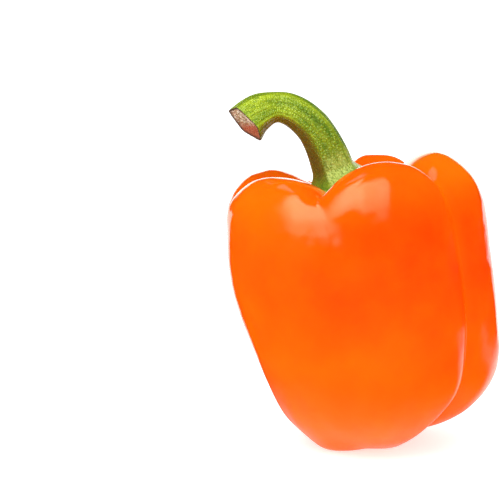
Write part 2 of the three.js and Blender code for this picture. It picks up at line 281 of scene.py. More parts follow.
# %% Mesh helper
def closed_skin(name, points, marks, materials):
    """A mesh of four-sided faces between neighbouring rows and columns, with a fan of
    three-sided ones round each pole.

    points is columns x rows x 3 in millimetres, its first and last rows being the poles. marks
    maps an attribute's name to values of shape columns x rows, or x 3 for a vector."""
    columns, rows, _ = points.shape

    def flat(values):
        inner = values[:, 1:-1].reshape((-1,) + values.shape[2:])
        return np.concatenate([values[:1, 0], inner, values[:1, -1]])

    inner_rows = rows - 2
    column, row = np.meshgrid(np.arange(columns), np.arange(inner_rows - 1), indexing="ij")
    after = (column + 1) % columns
    quads = np.stack([1 + column * inner_rows + row, 1 + after * inner_rows + row,
                      1 + after * inner_rows + row + 1, 1 + column * inner_rows + row + 1], -1)
    here = np.arange(columns)
    beyond = (here + 1) % columns
    end = columns * inner_rows + 1
    first = np.stack([np.zeros_like(here), 1 + beyond * inner_rows, 1 + here * inner_rows], -1)
    last = np.stack([np.full_like(here, end), here * inner_rows + inner_rows,
                     beyond * inner_rows + inner_rows], -1)

    mesh = bpy.data.meshes.new(name)
    co = flat(points) * MM
    corners = np.concatenate([quads.ravel(), first.ravel(), last.ravel()])
    sizes = np.concatenate([np.full(quads.size // 4, 4), np.full(2 * columns, 3)])
    mesh.vertices.add(len(co))
    mesh.vertices.foreach_set("co", co.ravel())
    mesh.loops.add(len(corners))
    mesh.loops.foreach_set("vertex_index", corners)
    mesh.polygons.add(len(sizes))
    mesh.polygons.foreach_set("loop_start", np.concatenate([[0], np.cumsum(sizes)[:-1]]))
    mesh.update(calc_edges=True)
    for mark, values in marks.items():
        kind = ("FLOAT_VECTOR", "vector") if values.ndim == 3 else ("FLOAT", "value")
        layer = mesh.attributes.new(mark, kind[0], "POINT")
        layer.data.foreach_set(kind[1], np.ascontiguousarray(flat(values), np.float32).ravel())
    for material in materials:
        mesh.materials.append(material)
    mesh.shade_smooth()
    piece = bpy.data.objects.new(name, mesh)
    bpy.context.scene.collection.objects.link(piece)
    triangles = int((sizes - 2).sum())
    print(name, "has", len(co), "points and", triangles, "triangles")
    return piece


# %% [markdown]
# ## Shader helpers
#
# A material is a small wiring diagram. Two helpers keep it readable: one adds a node with its
# sockets filled or wired, the other mixes two colours. Effects that both materials need are
# node groups with named sockets, so that each material can set its own colours and scales.

# %% Node helpers
def node(tree, kind, sockets=None, **settings):
    """Add a shader node; sockets maps an input to a plain value or to another node's output."""
    made = tree.nodes.new("ShaderNode" + kind)
    for name, value in settings.items():
        setattr(made, name, value)
    for name, value in (sockets or {}).items():
        if isinstance(value, bpy.types.NodeSocket):
            tree.links.new(value, made.inputs[name])
        else:
            made.inputs[name].default_value = value
    return made


def mixed(tree, factor, a, b, blend="MIX"):
    """Colour a going over to colour b with the factor."""
    made = node(tree, "Mix", {0: factor, 6: a, 7: b}, data_type="RGBA", blend_type=blend)
    return made.outputs[2]


def ramp(tree, value, low, high, to_low=0.0, to_high=1.0):
    """The value's way from low to high, as a smooth step from to_low to to_high."""
    return node(tree, "MapRange", {"Value": value, "From Min": low, "From Max": high,
                                   "To Min": to_low, "To Max": to_high},
                interpolation_type="SMOOTHSTEP").outputs["Result"]


def maths(tree, operation, a, b):
    """One sum of two values."""
    return node(tree, "Math", {0: a, 1: b}, operation=operation).outputs[0]


def attribute(tree, name, output="Fac"):
    """What the mesh stores under a name."""
    return node(tree, "Attribute", attribute_name=name).outputs[output]


def new_group(name, inputs, outputs):
    """An empty node group with named sockets, each (name, kind, default)."""
    group = bpy.data.node_groups.new(name, "ShaderNodeTree")
    for label, kind, value in inputs:
        socket = group.interface.new_socket(label, in_out="INPUT", socket_type="NodeSocket" + kind)
        if value is not None:
            socket.default_value = value
    for label, kind in outputs:
        group.interface.new_socket(label, in_out="OUTPUT", socket_type="NodeSocket" + kind)
    return group, group.nodes.new("NodeGroupInput"), group.nodes.new("NodeGroupOutput")


def use_group(tree, group, sockets):
    """Place a group in a material with its own values."""
    made = tree.nodes.new("ShaderNodeGroup")
    made.node_tree = group
    for name, value in sockets.items():
        if isinstance(value, bpy.types.NodeSocket):
            tree.links.new(value, made.inputs[name])
        else:
            made.inputs[name].default_value = value
    return made


# %% [markdown]
# ## Two shared effects
#
# Grown things are never one flat colour. *Mottling* drifts between two colours in soft cloudy
# patches with finer ones inside them. *Skin relief* adds up a broad and a fine unevenness for
# a Bump node: on the fruit it bends the reflections of the lamps a little, and on the stem it
# breaks up the rind.

# %% Shared node groups
def make_mottling():
    """Cloudy mix of two colours: broad noise plus a third as much noise four times finer."""
    group, given, result = new_group(
        "Mottling",
        [("Vector", "Vector", None), ("Scale", "Float", 50.0), ("Contrast", "Float", 0.2),
         ("Deep", "Color", (0, 0, 0, 1)), ("Light", "Color", (1, 1, 1, 1))],
        [("Color", "Color"), ("Mask", "Float")])
    broad = node(group, "TexNoise", {"Vector": given.outputs["Vector"],
                                     "Scale": given.outputs["Scale"],
                                     "Detail": 3.0, "Roughness": 0.55})
    finer = maths(group, "MULTIPLY", given.outputs["Scale"], 4.3)
    fine = node(group, "TexNoise", {"Vector": given.outputs["Vector"], "Scale": finer,
                                    "Detail": 4.0, "Roughness": 0.6})
    third = maths(group, "MULTIPLY", maths(group, "SUBTRACT", fine.outputs["Fac"], 0.5), 0.4)
    cloud = maths(group, "ADD", broad.outputs["Fac"], third)
    low = maths(group, "SUBTRACT", 0.5, given.outputs["Contrast"])
    high = maths(group, "ADD", 0.5, given.outputs["Contrast"])
    mask = ramp(group, cloud, low, high)
    colour = mixed(group, mask, given.outputs["Deep"], given.outputs["Light"])
    group.links.new(colour, result.inputs["Color"])
    group.links.new(mask, result.inputs["Mask"])
    return group


def make_relief():
    """Height for a Bump node: broad noise times its share plus fine noise times its share."""
    group, given, result = new_group(
        "Skin relief",
        [("Vector", "Vector", None), ("Broad scale", "Float", 90.0), ("Broad", "Float", 1.0),
         ("Fine scale", "Float", 1200.0), ("Fine", "Float", 0.05)],
        [("Height", "Float")])
    broad = node(group, "TexNoise", {"Vector": given.outputs["Vector"], "Detail": 2.0,
                                     "Scale": given.outputs["Broad scale"], "Roughness": 0.5})
    fine = node(group, "TexNoise", {"Vector": given.outputs["Vector"], "Detail": 3.0,
                                    "Scale": given.outputs["Fine scale"], "Roughness": 0.6})
    height = maths(group, "ADD",
                   maths(group, "MULTIPLY", broad.outputs["Fac"], given.outputs["Broad"]),
                   maths(group, "MULTIPLY", fine.outputs["Fac"], given.outputs["Fine"]))
    group.links.new(height, result.inputs["Height"])
    return group


MOTTLING = make_mottling()
RELIEF = make_relief()
print("node groups:", MOTTLING.name, "and", RELIEF.name)

# %% [markdown]
# ## The orange skin
#
# A ripe pepper's skin is a clear waxy layer over wet orange flesh. So the material has two
# parts: a saturated base colour without gloss that lets a little light pass under the surface,
# and a smooth clear coat on top that makes the soft highlights and is left off at the dry
# scar. Painted light makes the orange yellower round the crown and low on the front, and the
# orange is deepest in between.

# %% Orange skin material
DEEP_ORANGE = (0.90, 0.048, 0.0, 1)
WARM_ORANGE = (0.93, 0.088, 0.0, 1)
# painted light: the yellower orange that stands in for light falling on the skin
PAINTED_LIGHT_ORANGE = (0.96, 0.22, 0.002, 1)
SCAR_BROWN = (0.16, 0.075, 0.03, 1)


def orange_skin():
    """Mottled orange, yellower where the mesh stores painted light, brown and dry at the scar."""
    material = bpy.data.materials.new("orange_skin")
    material.use_nodes = True
    tree = material.node_tree
    tree.nodes.clear()
    place = node(tree, "TexCoord").outputs["Object"]
    clouds = use_group(tree, MOTTLING, {"Vector": place, "Scale": 26.0, "Contrast": 0.3,
                                        "Deep": DEEP_ORANGE, "Light": WARM_ORANGE})
    # painted light: how much yellower orange stands in for light falling here
    painted_light = attribute(tree, "painted_light")
    colour = mixed(tree, painted_light, clouds.outputs["Color"], PAINTED_LIGHT_ORANGE)
    scar = attribute(tree, "scar")
    colour = mixed(tree, scar, colour, SCAR_BROWN)
    relief = use_group(tree, RELIEF, {"Vector": place, "Broad scale": 75.0, "Broad": 1.0,
                                      "Fine scale": 1500.0, "Fine": 0.02})
    bump = node(tree, "Bump", {"Height": relief.outputs["Height"], "Strength": 1.0,
                               "Distance": 0.0005})
    rough = ramp(tree, scar, 0.0, 1.0, 0.38, 0.8)
    shiny = ramp(tree, scar, 0.0, 1.0, 1.0, 0.0)
    shader = node(tree, "BsdfPrincipled", {
        "Base Color": colour, "Roughness": rough, "IOR": 1.42,
        "Subsurface Weight": 0.25, "Subsurface Radius": (1.0, 0.28, 0.08),
        "Subsurface Scale": 0.003, "Specular IOR Level": 0.0,
        "Coat Weight": shiny, "Coat Roughness": 0.09, "Coat IOR": 1.4,
        "Normal": bump.outputs["Normal"], "Coat Normal": bump.outputs["Normal"],
    })
    node(tree, "OutputMaterial", {"Surface": shader.outputs["BSDF"]})
    return material


skin_material = orange_skin()
print("material:", skin_material.name)

# %% [markdown]
# ## Where light is painted on the fruit
#
# The skin is painted yellower where light would make it look so: round the crown, where light
# falls from above, most on the right lobe; low down and at the foot, where the bright table
# lights it; and in a thin line beside each sharp crease, a painted reflection of the table. A
# smaller share goes on the front left. The amount is worked out once for each point, from how
# far round and how far up the fruit it lies, and the material mixes its colours by it.

# %% Places of painted light
def beside(deg, middle, reach):
    """A bell round an azimuth: 1 there, 0.37 at the reach, as a column for each azimuth."""
    return np.exp(-((deg - middle) / reach) ** 2)[:, None]


def painted_light_share(deg, s, x, groove):
    """Painted light as shares: the crown's, more of it on the right lobe, a smaller one on the
    front left, two low down for the bright table, the stronger of them in front, one at the foot
    and one beside each sharp crease for the table's reflection."""
    crown = smooth((s - 0.57) / 0.12)[None]
    front_left = beside(deg, 212, 34) * smooth((s - 0.15) / 0.2)[None]
    in_front = 0.3 + 0.7 * beside(deg, 256, 38)
    low = (0.22 * in_front * smooth((0.5 - s) / 0.1)[None]
           + 0.25 * smooth((0.4 - s) / 0.25)[None]
           + 0.12 * smooth((0.16 - s) / 0.1)[None])
    sharp = (SOFT_FOOT[groove] < SHARP_BELOW)[:, None]
    crease = np.exp(-((1 - np.abs(x)) / 0.07) ** 2)[:, None] * sharp
    return np.clip(0.3 * crown + 0.4 * beside(deg, 366, 34) * crown + 0.16 * front_left + low
                   + 0.12 * crease, 0, 0.9)


# %% [markdown]
# ## The fruit
#
# Now the fruit itself. The columns stand closer together beside the creases, where the skin
# turns fastest. The feet are pressed flat on the floor plane. Besides its place, each point
# remembers how much painted light it gets and whether it belongs to the scar.

# %% Fruit skin
COLUMNS_PER_LOBE = 64
FRUIT_ROWS = 290


def fruit():
    """Five lobes of columns from the scar at s = 0 to the calyx seat at s = 1, bunched towards
    the creases as a sine is. The brown scar fades out between s = 0.012 and 0.028."""
    across = np.sin(np.pi / 2 * np.linspace(-1, 1, COLUMNS_PER_LOBE, endpoint=False))
    deg = (LOBE_MIDDLE[:, None] + LOBE_HALF[:, None] * across).ravel()
    s = np.linspace(0, 1, FRUIT_ROWS)
    line, x, groove = skin_lines(deg, s, waves=1.0)
    points = stand(line, deg, s)
    points[..., 2] = np.maximum(points[..., 2], 0)
    # painted light: the yellower share for light on the crown, from the table and along creases
    painted_light = painted_light_share(deg, s, x, groove)
    scar = 1 - smooth((s - 0.012) / 0.016)[None] + 0 * painted_light
    return closed_skin("fruit_skin", points, {"painted_light": painted_light, "scar": scar}, [skin_material])


fruit_piece = fruit()
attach(fruit_piece, "root")
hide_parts("fruit")

# %% [markdown]
# ## The green rind
#
# The stem's rind is a mid green with darker streaks and patches. Its ridges and the outside of
# its bend carry a painted highlight in yellow-green, and over everything lie fine pale pebbles,
# partly painted glints, and dark flecks. The side that faces the fruit is a brownish olive:
# partly its own stain, partly painted shade and painted orange light from the fruit. The flare
# into the calyx is a pale fresh green with darker veins, partly a painted highlight. Noise that
# should run along a bent stem can't use plain object coordinates, so each point stores its place
# on the stem as if that were straight, and some of the noise is stretched along that.

# %% Colours of the rind
LEAF_GREEN = (0.085, 0.18, 0.002, 1)
# painted highlight: the yellow-green of the ridges, the bend and the glints on the pebbles
YELLOW_GREEN = (0.46, 0.58, 0.015, 1)
MID_GREEN = (0.20, 0.30, 0.006, 1)
# partly painted highlight: the pale green of the flare
FRESH_AND_HIGHLIGHT_GREEN = (0.58, 0.73, 0.18, 1)
# partly painted shade and orange light from the fruit, partly the rind's own stain
OLIVE_BROWN = (0.12, 0.062, 0.008, 1)


def rind_colour(tree, straight, stretched, pebbles):
    """Streaks and patches, then the painted highlight on ridges and bend, pebbles with painted
    glints, flecks, the stain with painted shade and the pale flare with its painted highlight,
    each mixed over what lies before it."""
    streaks = use_group(tree, MOTTLING, {"Vector": stretched, "Scale": 420.0, "Contrast": 0.13,
                                         "Deep": LEAF_GREEN, "Light": MID_GREEN})
    patches = node(tree, "TexNoise", {"Vector": straight, "Scale": 130.0, "Detail": 3.0})
    dark_patches = ramp(tree, patches.outputs["Fac"], 0.42, 0.7, 0.0, 0.5)
    colour = mixed(tree, dark_patches, streaks.outputs["Color"], LEAF_GREEN)
    # painted highlight on the ridges and past the bend, stronger where the streaks are lighter
    painted_ridge_highlight = maths(tree, "MULTIPLY", attribute(tree, "ridge"),
                      ramp(tree, streaks.outputs["Color"], 0.1, 0.35, 0.35, 1.0))
    colour = mixed(tree, painted_ridge_highlight, colour, YELLOW_GREEN)
    # pale pebbles: the rind's real pebbles with painted glints on them
    colour = mixed(tree, ramp(tree, pebbles, 0.1, 0.45, 0.45, 0.0), colour, YELLOW_GREEN)
    flecks = node(tree, "TexNoise", {"Vector": stretched, "Scale": 1900.0, "Detail": 2.0})
    dark_flecks = ramp(tree, flecks.outputs["Fac"], 0.52, 0.64, 0.0, 0.6)
    colour = mixed(tree, dark_flecks, colour, LEAF_GREEN)
    # the inner side: partly real stain, partly painted shade and painted orange light from the
    # fruit
    stain_and_painted_shade = maths(tree, "MULTIPLY", attribute(tree, "inner"),
                  ramp(tree, patches.outputs["Fac"], 0.25, 0.6, 1.0, 0.72))
    colour = mixed(tree, stain_and_painted_shade, colour, OLIVE_BROWN)
    # the pale flare with darker veins, partly a painted highlight
    veined = maths(tree, "MULTIPLY", attribute(tree, "fresh_and_highlight"),
                   ramp(tree, flecks.outputs["Fac"], 0.4, 0.62, 1.0, 0.25))
    return mixed(tree, veined, colour, FRESH_AND_HIGHLIGHT_GREEN)


print("rind colours:", [colour[:3] for colour in (LEAF_GREEN, MID_GREEN, YELLOW_GREEN)])

# %% [markdown]
# ## The cut end
#
# The stem was cut off at the far end, and the cut has dried: pale and tan fibres inside a dark
# shrunken rim. Where the cut is lowest, a painted reddish glow stands for orange light from the
# fruit.

# %% Colours of the cut
PITH_TAN = (0.27, 0.15, 0.075, 1)
PITH_PALE = (0.62, 0.52, 0.38, 1)
# painted light: the reddish glow of orange light from the fruit on the cut
PAINTED_ORANGE_GLOW = (0.34, 0.085, 0.035, 1)
RIM_BROWN = (0.075, 0.035, 0.02, 1)


def cut_colour(tree, straight):
    """Mottled tan fibres, with a painted reddish glow of the fruit's light below, brown at the
    rim.
    """
    fibres = use_group(tree, MOTTLING, {"Vector": straight, "Scale": 1100.0, "Contrast": 0.07,
                                        "Deep": PITH_TAN, "Light": PITH_PALE})
    # painted light: the lower part of the cut reddened as if lit by the orange fruit
    colour = mixed(tree, attribute(tree, "cut_low"), fibres.outputs["Color"], PAINTED_ORANGE_GLOW)
    return mixed(tree, attribute(tree, "cut_rim"), colour, RIM_BROWN)


print("cut colours:", [colour[:3] for colour in (PITH_TAN, PITH_PALE, PAINTED_ORANGE_GLOW, RIM_BROWN)])

# %% [markdown]
# ## Both on one material
#
# The stem and its cut are one surface, so they share one material, and a stored value says
# where the cut begins. The rind has a faint shine of its own and fine pebbles that a Bump node
# raises; the dry cut has hardly any shine.

# %% Stem material
def green_stem():
    """Rind going over to the cut, with a stretched relief and pebbles for the bump."""
    material = bpy.data.materials.new("green_stem")
    material.use_nodes = True
    tree = material.node_tree
    tree.nodes.clear()
    straight = attribute(tree, "straight", "Vector")
    stretched = node(tree, "Mapping", {"Vector": straight, "Scale": (1.0, 1.0, 0.12)})
    stretched = stretched.outputs["Vector"]
    pebbles = node(tree, "TexVoronoi", {"Vector": straight, "Scale": 1300.0})
    pebbles = pebbles.outputs["Distance"]
    cut = attribute(tree, "cut")
    colour = mixed(tree, cut, rind_colour(tree, straight, stretched, pebbles),
                   cut_colour(tree, straight))

    relief = use_group(tree, RELIEF, {"Vector": stretched, "Broad scale": 520.0, "Broad": 0.55,
                                      "Fine scale": 2600.0, "Fine": 0.25})
    height = maths(tree, "SUBTRACT", relief.outputs["Height"],
                   maths(tree, "MULTIPLY", pebbles, 0.8))
    bump = node(tree, "Bump", {"Height": height, "Strength": 1.0, "Distance": 0.0003})
    rough = ramp(tree, cut, 0.0, 1.0, 0.3, 0.9)
    shader = node(tree, "BsdfPrincipled", {
        "Base Color": colour, "Roughness": rough, "IOR": 1.42,
        "Subsurface Weight": 0.12, "Subsurface Radius": (0.6, 1.0, 0.2),
        "Subsurface Scale": 0.0008, "Specular IOR Level": 0.5,
        "Normal": bump.outputs["Normal"],
    })
    node(tree, "OutputMaterial", {"Surface": shader.outputs["BSDF"]})
    return material


stem_material = green_stem()
print("material:", stem_material.name)

# %% [markdown]
# ## Calyx and stem as one loft
#
# A loft is a row of rings with a skin over them. Here the first rings lie under the calyx, a
# hair's breadth above the fruit, and grow outwards to five blunt teeth. The skin turns round
# that edge, comes back over the top, sweeps up into the stem, follows it over its bend and
# closes across the cut end. One loft leaves no seam between leaf and stem, as on the plant.
# Ten rings, read off along the bend, carry the stem: each has a place, a radius, how far it
# has swung over to the left and how far it turns towards the viewer.

# %% Sizes of calyx and stem
CALYX_GAP = 0.35
CALYX_THICK = 1.1
CALYX_R = 12.8
TOOTH = 2.2
TOOTH_SOFT = 0.25
FLARE_IN = 0.76
FLARE_LIFT = 3.8
FLARE_DROP = 2.2
RIB_DEG = 248
RIB_SHARE = 0.13
RIB_SOFT = 0.24
STEM_DEPTH_SHARE = 0.94
CUT_HOLLOW = 0.8

#                      x     y     z    radius  turn  yaw
STEM_RINGS = np.array([
    [-15.9, 0.0, 86.6, 6.6, 17, 0],
    [-17.6, -0.2, 91.0, 6.2, 21, 0],
    [-19.7, -0.4, 95.2, 5.8, 28, 0],
    [-22.2, -0.7, 98.8, 5.5, 41, 0],
    [-25.9, -1.0, 102.1, 5.2, 55, 1],
    [-29.9, -1.4, 104.2, 4.9, 73, 3],
    [-33.9, -1.9, 104.7, 4.8, 95, 7],
    [-37.8, -2.6, 103.5, 5.9, 105, 12],
    [-40.4, -3.3, 101.9, 6.4, 118, 17],
    [-42.8, -4.2, 99.9, 6.7, 133, 23],
])
print("the stem's middle line is about",
      np.linalg.norm(np.diff(STEM_RINGS[:, :3], axis=0), axis=1).sum().round(1), "mm long")


# %% [markdown]
# ## Ribbed rings
#
# Each ring is an oval a little flatter than a circle, with five low ridges that run on from
# the calyx's teeth. It stands square to the stem: two turns say how its axis points, one over
# to the left and one towards the viewer.

# %% Rings of the stem
def ridge(deg, soft):
    """Five ridges round the stem: 1 on a ridge, 0 between two, its top rounded by soft."""
    half = np.sin(np.radians(2.5 * (deg - RIB_DEG)))
    full = np.hypot(1, soft)
    return (full - np.hypot(half, soft)) / (full - soft)


def ring_frames(rings):
    """For each ring its axis, the way to its outer side and the way to its far side."""
    turn, yaw = np.radians(rings[:, 4]), np.radians(rings[:, 5])
    nought = np.zeros(len(rings))
    rising = np.stack([-np.sin(turn), nought, np.cos(turn)], -1)
    side = np.stack([np.cos(turn), nought, np.sin(turn)], -1)
    back = np.stack([nought, nought + 1, nought], -1)
    axis = np.cos(yaw)[:, None] * rising - np.sin(yaw)[:, None] * back
    far = np.cos(yaw)[:, None] * back + np.sin(yaw)[:, None] * rising
    return axis, side, far


def ring_points(rings, deg, rough=0.0):
    """Points of every ring: a ribbed oval round its middle. Columns x rings x 3."""
    axis, side, far = ring_frames(rings)
    radius = rings[None, :, 3] * (0.9 + RIB_SHARE * ridge(deg, RIB_SOFT)[:, None]) + rough
    a = np.radians(deg)[:, None, None]
    return (rings[None, :, :3] + radius[..., None] * np.cos(a) * side[None]
            + STEM_DEPTH_SHARE * radius[..., None] * np.sin(a) * far[None])


# %% [markdown]
# ## The crown's floor
#
# The calyx has to lie close on a floor that dips and rises from lobe to lobe. So its height is
# not guessed but read off the fruit's own lines, a hair's breadth above them.

# %% Where the calyx lies on the fruit
def crown_floor(deg, radius):
    """Height of the crown's inside at the given radii, lifted off the skin by the gap.

    The skin's line is moved out along its normal, then read off between its points."""
    s = np.linspace(1, 0.72, 140)
    line = skin_lines(deg, s[::-1])[0][:, ::-1]
    along = -np.gradient(line, axis=1)
    along /= np.linalg.norm(along, axis=2, keepdims=True) + 1e-9
    line[..., 0] += along[..., 1] * CALYX_GAP
    line[..., 1] -= along[..., 0] * CALYX_GAP
    line[:, 0, 0] = 0
    below = line[:, None, :, 0] <= radius[..., None]
    k = np.clip(np.cumprod(below, axis=-1).sum(-1) - 1, 0, len(s) - 2)
    a = np.take_along_axis(line, k[..., None], 1)
    b = np.take_along_axis(line, k[..., None] + 1, 1)
    t = np.clip((radius - a[..., 0]) / (b[..., 0] - a[..., 0]), 0, 1)
    return a[..., 1] * (1 - t) + b[..., 1] * t


def on_calyx(deg, radius, height):
    """Points of the calyx from their radius and height on the upright fruit."""
    return stand(np.stack([radius, height], -1), deg, np.ones(radius.shape[1]))


# %% [markdown]
# ## The calyx and its flare
#
# The underside follows the crown's floor out to the teeth, and half a turn goes round the
# edge. From there to the stem's first ring runs a cubic curve, which leaves the edge along the
# calyx and arrives along the stem, so that neither end shows a kink.

# %% Underside, edge and flare
STEM_COLUMNS = 240
UNDER, EDGE, FLARE, ALONG, CUT = 8, 8, 30, 210, 34
STEM_DEG = np.arange(STEM_COLUMNS) * 360 / STEM_COLUMNS
AROUND = np.radians(STEM_DEG)[:, None]
HALF_TURN = np.linspace(0, np.pi, EDGE + 1)[None, 1:]
FLARE_T = np.linspace(0, 1, FLARE + 1)[None, 1:]

RIM = (CALYX_R + TOOTH * ridge(STEM_DEG, TOOTH_SOFT))[:, None]
OUT = RIM * np.linspace(0, 1, UNDER + 1)[None]
RINGS = STEM_RINGS.copy()
RINGS[:, :3] -= ORIGIN


def calyx_rings():
    """Underside at even shares of the rim's radius, edge as half a turn, and flare as a cubic
    curve pulled up at the calyx and down the stem's axis at the first ring."""
    under = on_calyx(STEM_DEG, OUT, crown_floor(STEM_DEG, OUT))
    edge = on_calyx(STEM_DEG, RIM + 0.45 * CALYX_THICK * np.sin(HALF_TURN),
                    crown_floor(STEM_DEG, RIM) + 0.5 * CALYX_THICK * (1 - np.cos(HALF_TURN)))
    inside = FLARE_IN * RIM
    drawn = on_calyx(STEM_DEG, inside, crown_floor(STEM_DEG, inside) + FLARE_LIFT)
    foot = ring_points(RINGS[:1], STEM_DEG)
    first_axis = ring_frames(RINGS)[0][0]
    t = FLARE_T[..., None]
    flare = ((1 - t) ** 3 * edge[:, -1:] + 3 * t * (1 - t) ** 2 * drawn
             + 3 * t * t * (1 - t) * (foot - FLARE_DROP * first_axis) + t ** 3 * foot)
    return np.concatenate([under, edge, flare], axis=1)


CALYX_POINTS = calyx_rings()
print("calyx and flare:", CALYX_POINTS.shape[1], "rings, rim", RIM.max().round(1), "mm out")

# %% [markdown]
# ## The stem and its cut end
#
# A smooth curve through the ten named rings carries 210 finer ones, and thin lengthwise ridges
# that wander a little keep the stem from looking turned. The cut closes the last ring towards
# its middle, sunk a little, with fibres that stand up unevenly.

# %% Stem and cut
STEM_U = np.linspace(0, 1, ALONG + 1)[1:]
INWARD = np.linspace(0, 1, CUT + 1)[None, 1:]
PATH = curve_through(RINGS, STEM_U)


def fine_ridges():
    """Thin ridges as a few waves round the stem, shifted along it, in millimetres."""
    a, t = AROUND, STEM_U[None]
    return (0.05 * np.sin(17 * a + 1.3 * np.sin(5 * t)) + 0.045 * np.sin(29 * a + 2 * t + 1)
            + 0.03 * np.sin(43 * a - 3 * t) + 0.06 * np.sin(3 * a + 9 * t + 2))


def cut_rings(last_ring):
    """The last ring drawn in to its middle, pushed back along the axis by the hollow less the
    fibres, which are waves that twist towards the middle."""
    fibres = (0.10 * np.sin(7 * AROUND + 8 * INWARD)
              * np.sin(19 * INWARD + 2 * np.sin(3 * AROUND))
              + 0.07 * np.sin(16 * AROUND + 25 * INWARD)
              + 0.05 * np.sin(31 * AROUND - 40 * INWARD))
    fibres *= smooth(INWARD / 0.1) * smooth((1 - INWARD) / 0.15)
    sunk = CUT_HOLLOW * smooth(INWARD / 0.3) - fibres
    inward = INWARD[..., None]
    return (last_ring * (1 - inward) + PATH[-1:, None, :3] * inward
            - sunk[..., None] * ring_frames(PATH[-1:])[0][0])


STEM_POINTS = ring_points(PATH, STEM_DEG, fine_ridges() * smooth(STEM_U / 0.06)[None])
CUT_POINTS = cut_rings(STEM_POINTS[:, -1:])
print("stem and cut:", ALONG + CUT, "rings")

# %% [markdown]
# ## What each point of the stem remembers
#
# The material asks each point how fresh, ridged, stained or cut it is, and where it would lie
# if the stem were straight. All of these are worked out run by run: underside, edge, flare,
# stem and cut.

# %% Marks on the stem
INNER_SIDE_DEG = 200
UNDER_DEEP, FLARE_LONG, STEM_LONG = 4.0, 8.0, 47.0


def marked(on_under, on_edge, on_flare, on_stem, on_cut):
    """Five values or arrays, one for each run of rings, spread over columns x rings."""
    runs = [(on_under, UNDER + 1), (on_edge, EDGE), (on_flare, FLARE), (on_stem, ALONG),
            (on_cut, CUT)]
    return np.concatenate([np.broadcast_to(value, (STEM_COLUMNS, n)) for value, n in runs],
                          axis=1)


def stem_marks():
    """The pale flare, partly a painted highlight, fades out above the flare; the painted ridge
    highlight grows past the bend; the stain with painted shade and orange light lies on the inner
    side and fades towards the cut; and the cut is browner at its rim and redder below, a painted
    glow of the fruit's orange light."""
    t, u = FLARE_T, STEM_U[None]
    faces = np.cos(np.radians(STEM_DEG - INNER_SIDE_DEG))[:, None]
    faces_in = smooth((faces - 0.68) / 0.07)
    sunlit = 1 - 0.9 * faces_in
    # partly a real stain, partly painted shade and painted orange light on the side facing the
    # fruit
    stain_and_shade = faces_in * (0.6 + 0.4 * smooth((faces - 0.75) / 0.2))
    on_ridge = ridge(STEM_DEG, 0.1)[:, None] ** 3
    bend = smooth((u - 0.35) / 0.3)
    return {
        # the pale flare, partly a painted highlight, fading on the side that faces the fruit
        "fresh_and_highlight": marked(1, 1, (1 - 0.4 * smooth(t)) * sunlit,
                        0.6 * (1 - smooth(u / 0.14)) * sunlit, 0),
        # painted highlight along the ridges and past the bend
        "ridge": marked(0, 0, 0.3 * on_ridge, (0.35 + 0.2 * bend) * on_ridge + 0.6 * bend, 0),
        "inner": marked(0, 0, 0.75 * stain_and_shade * smooth((t - 0.3) / 0.6),
                        stain_and_shade * smooth((1.12 - u) / 0.3) * (0.8 + 0.2 * smooth(u / 0.1)), 0),
        "cut": marked(0, 0, 0, smooth((u - 0.988) / 0.008), 1),
        "cut_rim": marked(0, 0, 0, 1, 1 - smooth((INWARD - 0.05) / 0.14)),
        # painted reddish glow in the cut's lowest part, for orange light from the fruit
        "cut_low": marked(0, 0, 0, 0,
                          smooth((-np.cos(AROUND + 0.2) * (1 - INWARD) + 0.1) / 0.5)),
    }


def straight_places():
    """Each point's place if the stem were straight, in metres: its radius round an upright
    axis, and a height that is below 0 under the calyx, 0 at its edge, and then runs on along
    the flare and the stem to the cut."""
    radius = marked(OUT, RIM, RIM * (1 - 0.5 * FLARE_T), PATH[None, :, 3],
                    PATH[-1, 3] * (1 - INWARD))
    height = np.concatenate([np.linspace(-UNDER_DEEP, 0, UNDER + 1 + EDGE),
                             np.linspace(0, FLARE_LONG, FLARE),
                             FLARE_LONG + STEM_LONG * STEM_U,
                             np.full(CUT, FLARE_LONG + STEM_LONG)])
    return np.stack([radius * np.cos(AROUND), radius * np.sin(AROUND),
                     np.broadcast_to(height, radius.shape)], -1) * MM


# %% [markdown]
# ## Calyx, stem and cut in one mesh
#
# The runs are joined ring to ring and closed by the same helper as the fruit.

# %% Stem and calyx skin
stem_piece = closed_skin(
    "stem_and_calyx_skin", np.concatenate([CALYX_POINTS, STEM_POINTS, CUT_POINTS], axis=1),
    {**stem_marks(), "straight": straight_places()}, [stem_material])
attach(stem_piece, "root")
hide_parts("stem_and_calyx")

# %% [markdown]
# ## A plain white studio
#
# The pepper stands on a white table under a white sky. The table glows, as a sheet of milky
# glass lit from below does, so that hardly a shadow shows and the underside stays bright. One
# soft lamp above, in front and to the left makes the tops of the lobes a little brighter.

# %% Table, sky and lamp
def plain_material(name, colour, glow=0.0):
    """One colour with no gloss, and a glow of its own where one is asked for."""
    material = bpy.data.materials.new(name)
    material.use_nodes = True
    shader = material.node_tree.nodes["Principled BSDF"]
    shader.inputs["Base Color"].default_value = colour
    shader.inputs["Roughness"].default_value = 1.0
    shader.inputs["Specular IOR Level"].default_value = 0.0
    shader.inputs["Emission Color"].default_value = (1, 1, 1, 1)
    shader.inputs["Emission Strength"].default_value = glow
    material.cycles.emission_sampling = "NONE"
    return material


